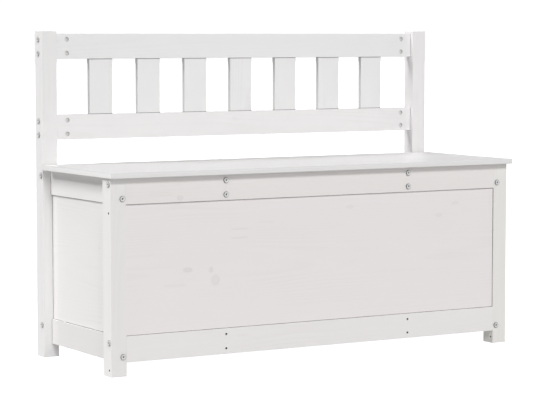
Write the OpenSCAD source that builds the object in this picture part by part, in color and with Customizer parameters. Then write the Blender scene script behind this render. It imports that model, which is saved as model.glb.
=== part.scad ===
// Storage bench in painted pine: a panelled box on four posts, a slatted backrest and a lid that lifts.
// Millimetres. Seen from the front, +X is to the right, +Y to the back and +Z up.
// The origin is on the floor, under the middle of the whole bench.

/* [Frame] */
// Width over the outer faces of the posts
frame_w = 1070; // [980:1:1200]
// Depth from the front faces of the front posts to the back faces of the back posts
frame_d = 385; // [350:1:460]
// Height of the back posts
back_h = 755; // [700:1:850]
// Height of the top of the lid
seat_h = 448; // [410:1:490]
// Height of the bottom rails above the floor
foot_h = 31; // [20:1:60]

/* [Timber] */
// Side of the square posts
post_s = 38; // [35:0.5:45]
// Height of every rail and bearer
rail_h = 58; // [54:1:66]
// Thickness of every rail and bearer
rail_t = 18; // [17:0.5:20]
// Radius of the eased edges of posts, rails and slats
edge_r = 0.6; // [0.4:0.1:1.5]

/* [Panels] */
// Thickness of the four wall panels
panel_t = 9; // [7:0.5:10]
// Depth of a panel behind the outer faces of its rails
panel_recess = 3.5; // [2:0.5:4]
// Length of a panel's edge that sits in its groove
panel_in = 4.5; // [3:0.5:5]
// Room for the panel to swell at the bottom of its groove
groove_room = 0.5; // [0.2:0.1:1]
// Clearance between a tongue or tenon and each wall of its slot
slot_fit = 0.1; // [0.05:0.05:0.3]

/* [Floor and bearers] */
// Thickness of the box's floor
floor_t = 9; // [6:0.5:12]
// Gap between the floor's edge and the panels and posts
floor_fit = 0.5; // [0.3:0.1:2]
// Distance from the outer face of a post to the middle of the nearest seat and floor bearer
bearer_in = 288.5; // [255:0.5:380]

/* [Backrest] */
// Height of the back posts above the top rail
top_reveal = 6; // [2:1:20]
// Open gap between the lid and the lower rail
backrest_gap = 56; // [40:1:90]
// Width of a slat
slat_w = 60; // [40:1:70]
// Thickness of a slat
slat_t = 12; // [9:0.5:14]
// Gap between a post and the slat next to it
slat_end_gap = 89; // [60:1:110]
// Length of a slat's end that sits in its mortise
slat_in = 10; // [6:1:15]

/* [Lid] */
// Thickness of the lid board
lid_t = 12; // [10:0.5:20]
// Reach of the lid past the front faces of the posts
lid_front = 16; // [5:1:30]
// Reach of the lid past the outer faces of the posts
lid_side = 6; // [3:1:20]
// Gap between the lid's back edge and the back posts
lid_back_gap = 6; // [5.9:0.1:10]
// Radius of the lid's edges
lid_r = 3; // [1:0.5:4.5]
// Distance from the outer face of a post to the middle of the batten near it
batten_in = 135; // [105:1:150]
// Width of a batten
batten_w = 30; // [20:1:40]
// Thickness of a batten
batten_t = 18; // [12:1:25]
// Distance from the inner face of the front rail to a batten
batten_front = 25; // [10:1:40]
// Distance from a batten to the inner face of the back rail
batten_back = 34; // [20:1:60]

/* [Hinges] */
// Distance from the outer face of a post to the middle of the hinge near it
hinge_in = 205; // [190:1:235]
// Length of a hinge
hinge_len = 60; // [40:1:80]
// Number of knuckles on a hinge
knuckle_count = 5; // [3, 5, 7]
// Thickness of the leaves
leaf_t = 1.5; // [1.2:0.1:1.5]
// Height of the leaf on the back rail, below the hinge axis
leaf_drop = 45; // [40:1:55]
// Reach of the other leaf under the lid
leaf_reach = 30; // [26:1:45]
// Outer radius of the knuckles
barrel_r = 2.6; // [2.5:0.05:2.65]
// Radius of the hinge pin
pin_r = 1.2; // [0.8:0.05:1.25]
// Clearance round the hinge pin
pin_fit = 0.05; // [0.02:0.01:0.08]
// Gap between knuckles, and between a knuckle and what it turns past
knuckle_gap = 0.3; // [0.2:0.05:0.5]
// Depth of the knuckles below the top of the lid
barrel_sink = 0.1; // [0.05:0.05:0.3]
// Thickness of the pin's riveted ends
pin_end_t = 0.8; // [0.5:0.1:1.5]
// Radius of the pin's riveted ends
pin_end_r = 2; // [1.6:0.1:2.3]
// Distance between neighbouring screws of a leaf, along the hinge
leaf_screw_gap = 20; // [15:1:24]
// Distance of a leaf's outer screws from its free edge
leaf_screw_in = 8; // [6:0.5:10]
// Distance of a leaf's middle screw further from that edge
leaf_screw_step = 10; // [0:0.5:12]

/* [Bolts and nuts] */
// Diameter of the connector bolts
bolt_d = 6; // [5:0.5:7]
// Clearance round a bolt in the timber
bolt_fit = 0.5; // [0.2:0.1:0.7]
// Reach of a bolt past the middle of its nut
bolt_past = 2; // [1:0.5:8]
// Diameter of a bolt's head
head_d = 13; // [12:0.5:16]
// Thickness of a bolt's head
head_t = 2.5; // [2:0.1:3]
// Radius of the head's rim
head_r = 0.8; // [0.3:0.1:1]
// Width across the flats of the hexagon socket
socket_af = 4; // [3:0.5:5]
// Depth of the hexagon socket
socket_deep = 2.2; // [1.5:0.1:3]
// Distance between the two bolts of a joint
bolt_pair = 32; // [30:0.5:34]
// Diameter of a barrel nut
nut_d = 10; // [9:0.5:11]
// Length of a barrel nut
nut_len = 13; // [11:0.5:14]
// Distance of a barrel nut from the end of its rail
nut_back = 30; // [26:0.5:30]
// Clearance round a barrel nut, and round the bolt inside it
nut_fit = 0.1; // [0.05:0.05:0.2]
// Width of the slot in the nut's end
nut_slot_w = 1.2; // [0.8:0.1:1.6]
// Depth of the slot in the nut's end
nut_slot_deep = 1.2; // [0.8:0.1:1.6]

/* [Dowels, screws and holes] */
// Diameter of the dowels
dowel_d = 6; // [5:0.5:6.5]
// Length of the dowels
dowel_len = 30; // [24:1:34]
// Length of a dowel that sits in its post
dowel_in = 12; // [8:1:12]
// Distance of a long rail's dowel below the middle of the rail
dowel_down = 4; // [3:0.5:4.5]
// Distance of a side rail's dowel above the middle of the rail
dowel_up = 6; // [5.5:0.5:6.5]
// Diameter of the screws that hold the floor bearers
bearer_screw_d = 4; // [3:0.5:4]
// Length of the screws that hold the floor bearers
bearer_screw_len = 40; // [30:1:48]
// Diameter of the holes in which these screws' heads lie, and of the small holes in the front posts
small_hole_d = 5; // [4.8:0.1:7]
// Depth of these screws' heads behind the rail's face
sunk = 8; // [4:0.5:10]
// Height of the small hole in each front post's foot
foot_hole_z = 15; // [10:1:16]
// Distance of the upper small hole in each front post below the top rail
upper_hole_down = 18; // [12:1:40]
// Depth of the upper small hole
upper_hole_deep = 24; // [10:1:30]
// Diameter of the floor, batten and hinge screws
screw_d = 3; // [2.5:0.1:3.4]
// Diameter of their countersunk heads
screw_head_d = 5.6; // [5:0.1:6]
// Length of the screws in the floor
floor_screw_len = 30; // [20:1:45]
// Distance of the outer floor screws from the rails' inner faces
floor_screw_in = 50; // [45:1:80]
// Distance of a batten's outer screws from its ends
batten_screw_in = 35; // [20:1:60]
// Depth to which a batten's screws enter the lid
batten_screw_deep = 8; // [6:0.5:9]
// Length of the screws in the hinges
hinge_screw_len = 10; // [7:0.5:12]
// Clearance round a screw
screw_fit = 0.1; // [0.05:0.05:0.2]
// Width of the arms of a screw's cross
cross_w = 0.7; // [0.5:0.1:0.9]
// Depth of a screw's cross
cross_deep = 0.9; // [0.5:0.1:1.2]
// Diameter of a screw's tip
tip_d = 0.6; // [0.4:0.1:1]

/* [Hidden] */
$fn = 32;
cut = 1;                                     // cutters reach this far past what they cut
x_out = frame_w / 2;                         // outer faces of the posts
x_in = x_out - post_s;                       // inner faces of the posts and of the side rails
x_side = x_in + rail_t / 2;                  // middle of a side rail
bearer_x = x_out - bearer_in;
batten_x = x_out - batten_in;
hinge_x = x_out - hinge_in;
back_y = frame_d - post_s;                   // front faces of the back posts and back rails
box_h = seat_h - lid_t;                      // top of the box and of the front posts
bottom_z = foot_h;                           // undersides of the rails, from the floor up
top_z = box_h - rail_h;
rest_low_z = seat_h + backrest_gap;
rest_top_z = back_h - top_reveal - rail_h;
rest_y = back_y + (post_s - rail_t) / 2;     // front faces of the backrest's rails
panel_z0 = bottom_z + rail_h;                // the visible panels lie between these heights
panel_z1 = top_z;
back_panel_y = back_y + rail_t - panel_recess - panel_t;
side_panel_x = x_in + rail_t - panel_recess - panel_t;
slat_count = 7;                              // one for each slat's node
slat_pitch = (2 * x_in - 2 * slat_end_gap - slat_w) / (slat_count - 1);
slat_y = rest_y + (rail_t - slat_t) / 2;     // front faces of the slats
lid_back = back_y - lid_back_gap;            // back edge of the lid
batten_y = rail_t + batten_front;
batten_len = back_y - batten_back - batten_y;
batten_screw_len = batten_t + batten_screw_deep;
hinge_y = lid_back + barrel_r + knuckle_gap; // hinge axis
hinge_z = seat_h - barrel_r - barrel_sink;
knuckle_len = (hinge_len - (knuckle_count - 1) * knuckle_gap) / knuckle_count;
post_bolt_len = post_s + nut_back + bolt_past;
bearer_bolt_len = rail_t + nut_back + bolt_past;
sink_head_h = (screw_head_d - screw_d) / 2;  // height of a countersunk head
// The bench reaches from the lid's front edge to the bolt heads on the back posts
y_front = (lid_front - frame_d - head_t) / 2;
// Ways in which a barrel nut's hole opens, seen along its bolt
opens_back = [-90, 0, 0];
opens_front = [90, 0, 0];
opens_inside = [-90, 0, 90];
white = [0.93, 0.92, 0.91];
steel = [0.66, 0.67, 0.69];
beech = [0.83, 0.68, 0.47];

// Places. Everything below is drawn with y = 0 at the front posts' front faces, on the right-hand side

module bench() translate([0, y_front, 0]) children();

// side is 1 for the right-hand side and -1 for the left-hand side
module side_of(side) {
    if (side > 0) children();
    else mirror([1, 0, 0]) children();
}

module both_sides() {
    children();
    mirror([1, 0, 0]) children();
}

// Bolts from the outer face of a post into the ends of the box's long rails
module long_rail_bolts(y) for (z = [bottom_z, top_z])
    translate([x_out, y + rail_t / 2, z + (rail_h + bolt_pair) / 2]) rotate([0, -90, 0]) children();

// Bolts from the outer face of a back post into the ends of the backrest's rails
module rest_rail_bolts() for (z = [rest_low_z, rest_top_z], s = [-1, 1])
    translate([x_out, rest_y + rail_t / 2, z + (rail_h + s * bolt_pair) / 2])
        rotate([0, -90, 0]) children();

// Bolts from the front of a front post, or the back of a back post, into the side rails
module front_side_bolts() for (z = [bottom_z, top_z])
    translate([x_side, 0, z + (rail_h - bolt_pair) / 2]) rotate([-90, 0, 0]) children();

module back_side_bolts() for (z = [bottom_z, top_z])
    translate([x_side, frame_d, z + (rail_h - bolt_pair) / 2]) rotate([90, 0, 0]) children();

// Two fasteners through the front rail, or the back rail, into the end of a bearer
module front_bearer_pair(z) for (s = [-1, 1])
    translate([bearer_x, 0, z + (rail_h + s * bolt_pair) / 2]) rotate([-90, 0, 0]) children();

module back_bearer_pair(z) for (s = [-1, 1])
    translate([bearer_x, back_y + rail_t, z + (rail_h + s * bolt_pair) / 2])
        rotate([90, 0, 0]) children();

// Dowels at the joint faces, pointing out of the post into the rail
module long_rail_dowels(y) for (z = [bottom_z, top_z])
    translate([x_in, y + rail_t / 2, z + rail_h / 2 - dowel_down]) rotate([0, -90, 0]) children();

module front_side_dowels() for (z = [bottom_z, top_z])
    translate([x_side, post_s, z + rail_h / 2 + dowel_up]) rotate([-90, 0, 0]) children();

module back_side_dowels() for (z = [bottom_z, top_z])
    translate([x_side, back_y, z + rail_h / 2 + dowel_up]) rotate([90, 0, 0]) children();

// Screws down through the floor into a floor bearer
module floor_screw_places()
    for (y = [rail_t + floor_screw_in, (rail_t + back_y) / 2, back_y - floor_screw_in])
        translate([bearer_x, y, panel_z0 + floor_t]) rotate([180, 0, 0]) children();

// Screws up through a batten into the lid
module batten_screw_places()
    for (y = [batten_screw_in, batten_len / 2, batten_len - batten_screw_in])
        translate([batten_x, batten_y + y, box_h - batten_t]) children();

// Screws of a leaf. The middle one lies nearer to the hinge's axis than the outer two
function leaf_row(i) = leaf_screw_in + (i == 0 ? leaf_screw_step : 0);

module frame_leaf_screw_places() for (i = [-1, 0, 1])
    translate([hinge_x + i * leaf_screw_gap, back_y - leaf_t, hinge_z - leaf_drop + leaf_row(i)])
        rotate([-90, 0, 0]) children();

module lid_leaf_screw_places() for (i = [-1, 0, 1])
    translate([hinge_x + i * leaf_screw_gap, lid_back - leaf_reach + leaf_row(i), box_h - leaf_t])
        children();

// Timber shapes

module eased_rect(a, b, r) {
    translate([r, 0]) square([a - 2 * r, b]);
    translate([0, r]) square([a, b - 2 * r]);
    for (x = [r, a - r], y = [r, b - r]) translate([x, y]) circle(r);
}

// Bars with eased long edges, from the corner p, of the size s
module bar_x(p, s, r) translate(p)
    rotate([90, 0, 90]) linear_extrude(s.x) eased_rect(s.y, s.z, r);

module bar_y(p, s, r) translate(p + [0, s.y, 0])
    rotate([90, 0, 0]) linear_extrude(s.y) eased_rect(s.x, s.z, r);

module bar_z(p, s, r) translate(p) linear_extrude(s.z) eased_rect(s.x, s.y, r);

// A block with all twelve edges eased
module block(p, s, r) intersection() {
    bar_x(p, s, r);
    bar_y(p, s, r);
    bar_z(p, s, r);
}

// Fasteners, drawn along +Z from the face that they are driven into

module bolt(len) {
    difference() {
        rotate_extrude() {
            translate([0, -head_t]) square([head_d / 2 - head_r, head_t]);
            translate([0, head_r - head_t]) square([head_d / 2, head_t - head_r]);
            translate([head_d / 2 - head_r, head_r - head_t]) circle(head_r);
        }
        translate([0, 0, -head_t - cut])
            cylinder(d = socket_af / cos(30), h = socket_deep + cut, $fn = 6);
    }
    cylinder(d = bolt_d, h = len);
}

module bolt_hole(len) translate([0, 0, -cut])
    cylinder(d = bolt_d + 2 * bolt_fit, h = len + 2 * cut);

// The nut's axis lies along the rail's thickness, and its thread along the bolt
module nut_at(depth, turn) translate([0, 0, depth + nut_back]) rotate(turn) children();

module barrel_nut() difference() {
    translate([0, 0, -nut_len / 2]) cylinder(d = nut_d, h = nut_len);
    translate([0, -nut_d, 0]) rotate([-90, 0, 0])
        cylinder(d = bolt_d + 2 * nut_fit, h = 2 * nut_d);
    translate([-nut_d, -nut_slot_w / 2, nut_len / 2 - nut_slot_deep])
        cube([2 * nut_d, nut_slot_w, nut_slot_deep + cut]);
}

module nut_hole() translate([0, 0, -nut_len / 2 - nut_fit])
    cylinder(d = nut_d + 2 * nut_fit, h = nut_len / 2 + nut_fit + rail_t / 2 + cut);

// A bolt's hole with its nut's hole
module bolt_and_nut_hole(len, depth, turn) {
    bolt_hole(len);
    nut_at(depth, turn) nut_hole();
}

module dowel() translate([0, 0, -dowel_in]) cylinder(d = dowel_d, h = dowel_len);

module dowel_hole() translate([0, 0, -dowel_in - cut])
    cylinder(d = dowel_d + 2 * slot_fit, h = dowel_len + 2 * cut);

// The cross in a screw's head, its bottom at the given depth
module cross(size, deep) for (a = [0, 90]) rotate(a)
    translate([-size / 2, -cross_w / 2, deep - cross_deep - cut])
        cube([size, cross_w, cross_deep + cut]);

// Countersunk screw, its head flush with the face
module screw(len) difference() {
    union() {
        cylinder(d1 = screw_head_d, d2 = screw_d, h = sink_head_h);
        cylinder(d = screw_d, h = len - screw_d);
        translate([0, 0, len - screw_d]) cylinder(d1 = screw_d, d2 = tip_d, h = screw_d);
    }
    cross(screw_d, cross_deep);
}

module screw_hole(len) {
    translate([0, 0, -0.01])
        cylinder(d1 = screw_head_d + 2 * screw_fit, d2 = screw_d + 2 * screw_fit, h = sink_head_h);
    translate([0, 0, -cut]) cylinder(d = screw_d + 2 * screw_fit, h = len + cut + screw_fit);
}

// Small-headed screw, its head lying deep in a small hole
module sunk_screw() difference() {
    union() {
        translate([0, 0, sunk])
            cylinder(d = small_hole_d - 2 * screw_fit, h = bearer_screw_d / 2);
        translate([0, 0, sunk])
            cylinder(d = bearer_screw_d, h = bearer_screw_len - bearer_screw_d);
        translate([0, 0, sunk + bearer_screw_len - bearer_screw_d])
            cylinder(d1 = bearer_screw_d, d2 = tip_d, h = bearer_screw_d);
    }
    cross(screw_d, sunk + cross_deep);
}

module sunk_screw_hole() {
    translate([0, 0, -cut]) cylinder(d = small_hole_d, h = sunk + bearer_screw_d / 2 + cut);
    cylinder(d = bearer_screw_d + 2 * screw_fit, h = sunk + bearer_screw_len + screw_fit);
}

// Panels. in is how far an edge enters its groove, and fit widens the board to the groove's space

module long_board(y, in, fit) translate([-x_in - in, y - fit, panel_z0 - in])
    cube([2 * (x_in + in), panel_t + 2 * fit, panel_z1 - panel_z0 + 2 * in]);

module front_board(in, fit) long_board(panel_recess, in, fit);

module back_board(in, fit) long_board(back_panel_y, in, fit);

module side_board(in, fit) translate([side_panel_x - fit, post_s - in, panel_z0 - in])
    cube([panel_t + 2 * fit, back_y - post_s + 2 * in, panel_z1 - panel_z0 + 2 * in]);

module grooves() {
    front_board(panel_in + groove_room, slot_fit);
    back_board(panel_in + groove_room, slot_fit);
    both_sides() side_board(panel_in + groove_room, slot_fit);
}

module front_panel() bench() color(white) front_board(panel_in, 0);

module back_panel() bench() color(white) back_board(panel_in, 0);

module side_panel(side) bench() color(white) side_of(side) side_board(panel_in, 0);

// Posts

module front_post(side) bench() color(white) side_of(side) difference() {
    block([x_in, 0, 0], [post_s, post_s, box_h], edge_r);
    grooves();
    long_rail_bolts(0) bolt_hole(post_s);
    front_side_bolts() bolt_hole(post_s);
    long_rail_dowels(0) dowel_hole();
    front_side_dowels() dowel_hole();
    translate([x_in - cut, rail_t / 2, foot_hole_z]) rotate([0, 90, 0])
        cylinder(d = small_hole_d, h = post_s + 2 * cut);
    translate([x_out - upper_hole_deep, rail_t / 2, top_z - upper_hole_down]) rotate([0, 90, 0])
        cylinder(d = small_hole_d, h = upper_hole_deep + cut);
}

module back_post(side) bench() color(white) side_of(side) difference() {
    block([x_in, back_y, 0], [post_s, post_s, back_h], edge_r);
    grooves();
    long_rail_bolts(back_y) bolt_hole(post_s);
    back_side_bolts() bolt_hole(post_s);
    rest_rail_bolts() bolt_hole(post_s);
    long_rail_dowels(back_y) dowel_hole();
    back_side_dowels() dowel_hole();
}

// Long rails of the box, with the joints at their ends and the bearers' joints

module front_rail(z) bench() color(white) difference() {
    bar_x([-x_in, 0, z], [2 * x_in, rail_t, rail_h], edge_r);
    grooves();
    both_sides() {
        long_rail_bolts(0) bolt_and_nut_hole(post_bolt_len, post_s, opens_back);
        long_rail_dowels(0) dowel_hole();
        front_bearer_pair(top_z) bolt_hole(rail_t);
        front_bearer_pair(bottom_z) sunk_screw_hole();
    }
}

module back_rail(z) bench() color(white) difference() {
    bar_x([-x_in, back_y, z], [2 * x_in, rail_t, rail_h], edge_r);
    grooves();
    both_sides() {
        long_rail_bolts(back_y) bolt_and_nut_hole(post_bolt_len, post_s, opens_front);
        long_rail_dowels(back_y) dowel_hole();
        back_bearer_pair(top_z) bolt_hole(rail_t);
        back_bearer_pair(bottom_z) sunk_screw_hole();
        frame_leaf_screw_places() screw_hole(hinge_screw_len);
    }
}

module side_rail(side, z) bench() color(white) side_of(side) difference() {
    bar_y([x_in, post_s, z], [rail_t, back_y - post_s, rail_h], edge_r);
    grooves();
    front_side_bolts() bolt_and_nut_hole(post_bolt_len, post_s, opens_inside);
    back_side_bolts() bolt_and_nut_hole(post_bolt_len, post_s, opens_inside);
    front_side_dowels() dowel_hole();
    back_side_dowels() dowel_hole();
}

// Bearers from the front rails to the back rails, under the lid and under the floor

module bearer_bar(z)
    bar_y([bearer_x - rail_t / 2, rail_t, z], [rail_t, back_y - rail_t, rail_h], edge_r);

module seat_bearer(side) bench() color(white) side_of(side) difference() {
    bearer_bar(top_z);
    front_bearer_pair(top_z) bolt_and_nut_hole(bearer_bolt_len, rail_t, opens_inside);
    back_bearer_pair(top_z) bolt_and_nut_hole(bearer_bolt_len, rail_t, opens_inside);
}

module floor_bearer(side) bench() color(white) side_of(side) difference() {
    bearer_bar(bottom_z);
    front_bearer_pair(bottom_z) sunk_screw_hole();
    back_bearer_pair(bottom_z) sunk_screw_hole();
    floor_screw_places() screw_hole(floor_screw_len);
}

// The floor lies on the bearers and on the bottom rails, notched round the posts
module floor_board() bench() color(white) difference() {
    translate([-side_panel_x + floor_fit, panel_recess + panel_t + floor_fit, panel_z0])
        cube([2 * (side_panel_x - floor_fit),
            back_panel_y - panel_recess - panel_t - 2 * floor_fit, floor_t]);
    both_sides() for (y = [0, back_y])
        translate([x_in - floor_fit, y - floor_fit, panel_z0 - cut])
            cube([post_s, post_s + 2 * floor_fit, floor_t + 2 * cut]);
    both_sides() floor_screw_places() screw_hole(floor_screw_len);
}

// Backrest

function slat_x(i) = (i - (slat_count - 1) / 2) * slat_pitch;

// The mortises for both ends of a slat
module slat_space(i) translate([slat_x(i) - slat_w / 2 - slot_fit, slat_y - slot_fit, 0])
    translate([0, 0, rest_low_z + rail_h - slat_in - groove_room])
        cube([slat_w + 2 * slot_fit, slat_t + 2 * slot_fit,
            rest_top_z - rest_low_z - rail_h + 2 * (slat_in + groove_room)]);

module backrest_rail(z) bench() color(white) difference() {
    bar_x([-x_in, rest_y, z], [2 * x_in, rail_t, rail_h], edge_r);
    for (i = [0 : slat_count - 1]) slat_space(i);
    both_sides() rest_rail_bolts() bolt_and_nut_hole(post_bolt_len, post_s, opens_front);
}

module slat(i) bench() color(white)
    bar_z([slat_x(i) - slat_w / 2, slat_y, rest_low_z + rail_h - slat_in],
        [slat_w, slat_t, rest_top_z - rest_low_z - rail_h + 2 * slat_in], edge_r);

// Lid

module lid_board() bench() color(white) difference() {
    block([-x_out - lid_side, -lid_front, box_h],
        [2 * (x_out + lid_side), lid_back + lid_front, lid_t], lid_r);
    both_sides() {
        batten_screw_places() screw_hole(batten_screw_len);
        lid_leaf_screw_places() screw_hole(hinge_screw_len);
    }
}

module lid_batten(side) bench() color(white) side_of(side) difference() {
    block([batten_x - batten_w / 2, batten_y, box_h - batten_t],
        [batten_w, batten_len, batten_t], edge_r);
    batten_screw_places() screw_hole(batten_screw_len);
}

// Hinges. The even knuckles, counted from 0, belong to the frame's leaf and the odd ones to the lid's

frame_knuckles = [0 : 2 : knuckle_count - 1];
lid_knuckles = [1 : 2 : knuckle_count - 2];

function knuckle_x(k) = hinge_x - hinge_len / 2 + k * (knuckle_len + knuckle_gap);

module knuckle(k) translate([knuckle_x(k), hinge_y, hinge_z]) rotate([0, 90, 0])
    cylinder(r = barrel_r, h = knuckle_len);

// Space for a knuckle of the other leaf
module knuckle_room(k)
    translate([knuckle_x(k) - knuckle_gap, hinge_y - 2 * barrel_r, hinge_z - barrel_r - knuckle_gap])
        cube([knuckle_len + 2 * knuckle_gap, lid_back_gap + 2 * barrel_r, 3 * barrel_r]);

module hinge_bore() translate([hinge_x - hinge_len / 2 - cut, hinge_y, hinge_z])
    rotate([0, 90, 0]) cylinder(r = pin_r + pin_fit, h = hinge_len + 2 * cut);

module frame_leaf(side) bench() color(steel) side_of(side) difference() {
    union() {
        difference() {
            translate([hinge_x - hinge_len / 2, back_y - leaf_t, hinge_z - leaf_drop])
                cube([hinge_len, leaf_t, leaf_drop]);
            for (k = lid_knuckles) knuckle_room(k);
        }
        for (k = frame_knuckles) {
            knuckle(k);
            translate([knuckle_x(k), hinge_y, hinge_z - barrel_r])
                cube([knuckle_len, back_y - hinge_y, leaf_t]);
        }
    }
    hinge_bore();
    frame_leaf_screw_places() screw_hole(hinge_screw_len);
}

module lid_leaf(side) bench() color(steel) side_of(side) difference() {
    union() {
        difference() {
            union() {
                translate([hinge_x - hinge_len / 2, lid_back, box_h - leaf_t])
                    cube([hinge_len, leaf_t, hinge_z - box_h + leaf_t]);
                translate([hinge_x - hinge_len / 2, lid_back - leaf_reach, box_h - leaf_t])
                    cube([hinge_len, leaf_reach + leaf_t, leaf_t]);
            }
            for (k = frame_knuckles) knuckle_room(k);
        }
        for (k = lid_knuckles) knuckle(k);
    }
    hinge_bore();
    lid_leaf_screw_places() screw_hole(hinge_screw_len);
}

// The pin's two ends are riveted over the outer knuckles
module hinge_pin(side) bench() color(steel) side_of(side)
    translate([hinge_x - hinge_len / 2, hinge_y, hinge_z]) rotate([0, 90, 0]) {
        cylinder(r = pin_r, h = hinge_len);
        for (z = [-pin_end_t, hinge_len]) translate([0, 0, z])
            cylinder(r = pin_end_r, h = pin_end_t);
    }

// Fasteners of the whole bench

module post_bolts() bench() color(steel) both_sides() {
    long_rail_bolts(0) bolt(post_bolt_len);
    long_rail_bolts(back_y) bolt(post_bolt_len);
    rest_rail_bolts() bolt(post_bolt_len);
    front_side_bolts() bolt(post_bolt_len);
    back_side_bolts() bolt(post_bolt_len);
}

module post_barrel_nuts() bench() color(steel) both_sides() {
    long_rail_bolts(0) nut_at(post_s, opens_back) barrel_nut();
    long_rail_bolts(back_y) nut_at(post_s, opens_front) barrel_nut();
    rest_rail_bolts() nut_at(post_s, opens_front) barrel_nut();
    front_side_bolts() nut_at(post_s, opens_inside) barrel_nut();
    back_side_bolts() nut_at(post_s, opens_inside) barrel_nut();
}

module bearer_bolts() bench() color(steel) both_sides() {
    front_bearer_pair(top_z) bolt(bearer_bolt_len);
    back_bearer_pair(top_z) bolt(bearer_bolt_len);
}

module bearer_barrel_nuts() bench() color(steel) both_sides() {
    front_bearer_pair(top_z) nut_at(rail_t, opens_inside) barrel_nut();
    back_bearer_pair(top_z) nut_at(rail_t, opens_inside) barrel_nut();
}

module rail_dowels() bench() color(beech) both_sides() {
    long_rail_dowels(0) dowel();
    long_rail_dowels(back_y) dowel();
    front_side_dowels() dowel();
    back_side_dowels() dowel();
}

module floor_bearer_screws() bench() color(steel) both_sides() {
    front_bearer_pair(bottom_z) sunk_screw();
    back_bearer_pair(bottom_z) sunk_screw();
}

module floor_screws() bench() color(steel) both_sides()
    floor_screw_places() screw(floor_screw_len);

module batten_screws() bench() color(steel) both_sides()
    batten_screw_places() screw(batten_screw_len);

module hinge_frame_screws() bench() color(steel) both_sides()
    frame_leaf_screw_places() screw(hinge_screw_len);

module hinge_lid_screws() bench() color(steel) both_sides()
    lid_leaf_screw_places() screw(hinge_screw_len);

front_post(-1);  // front_left_post
front_post(1);  // front_right_post
back_post(-1);  // back_left_post
back_post(1);  // back_right_post
front_rail(top_z);  // front_top_rail
front_rail(bottom_z);  // front_bottom_rail
back_rail(top_z);  // back_top_rail
back_rail(bottom_z);  // back_bottom_rail
side_rail(-1, top_z);  // left_top_rail
side_rail(-1, bottom_z);  // left_bottom_rail
side_rail(1, top_z);  // right_top_rail
side_rail(1, bottom_z);  // right_bottom_rail
front_panel();
back_panel();
side_panel(-1);  // left_panel
side_panel(1);  // right_panel
seat_bearer(-1);  // seat_bearer_left
seat_bearer(1);  // seat_bearer_right
floor_bearer(-1);  // floor_bearer_left
floor_bearer(1);  // floor_bearer_right
floor_board();
backrest_rail(rest_top_z);  // backrest_top_rail
backrest_rail(rest_low_z);  // backrest_lower_rail
slat(0);  // backrest_slat_1
slat(1);  // backrest_slat_2
slat(2);  // backrest_slat_3
slat(3);  // backrest_slat_4
slat(4);  // backrest_slat_5
slat(5);  // backrest_slat_6
slat(6);  // backrest_slat_7
lid_board();
lid_batten(-1);  // lid_batten_left
lid_batten(1);  // lid_batten_right
frame_leaf(-1);  // hinge_left_frame_leaf
lid_leaf(-1);  // hinge_left_lid_leaf
hinge_pin(-1);  // hinge_left_pin
frame_leaf(1);  // hinge_right_frame_leaf
lid_leaf(1);  // hinge_right_lid_leaf
hinge_pin(1);  // hinge_right_pin
post_bolts();
post_barrel_nuts();
bearer_bolts();
bearer_barrel_nuts();
rail_dowels();
floor_bearer_screws();
floor_screws();
batten_screws();
hinge_frame_screws();
hinge_lid_screws();
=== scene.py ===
import math
import random

import bpy
from mathutils import Matrix, Vector


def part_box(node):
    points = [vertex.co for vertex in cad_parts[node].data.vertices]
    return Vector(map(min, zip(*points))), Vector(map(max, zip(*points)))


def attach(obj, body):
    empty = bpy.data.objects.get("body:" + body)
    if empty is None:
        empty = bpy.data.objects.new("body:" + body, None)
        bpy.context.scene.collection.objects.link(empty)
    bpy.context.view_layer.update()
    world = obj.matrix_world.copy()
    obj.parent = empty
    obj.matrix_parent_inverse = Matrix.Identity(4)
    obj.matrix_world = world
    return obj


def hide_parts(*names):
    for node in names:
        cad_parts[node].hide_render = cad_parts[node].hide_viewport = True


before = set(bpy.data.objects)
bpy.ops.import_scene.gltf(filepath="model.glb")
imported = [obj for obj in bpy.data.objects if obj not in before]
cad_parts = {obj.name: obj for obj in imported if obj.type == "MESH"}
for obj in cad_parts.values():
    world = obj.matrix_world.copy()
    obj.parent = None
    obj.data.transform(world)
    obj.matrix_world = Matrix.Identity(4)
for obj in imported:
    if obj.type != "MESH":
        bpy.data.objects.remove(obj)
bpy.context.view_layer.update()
print("scene: frame loaded,", len(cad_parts), "CAD nodes")

mm = 0.001


# Node trees. A Wire is one socket of a node, and sums on Wires add Math nodes

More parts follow.
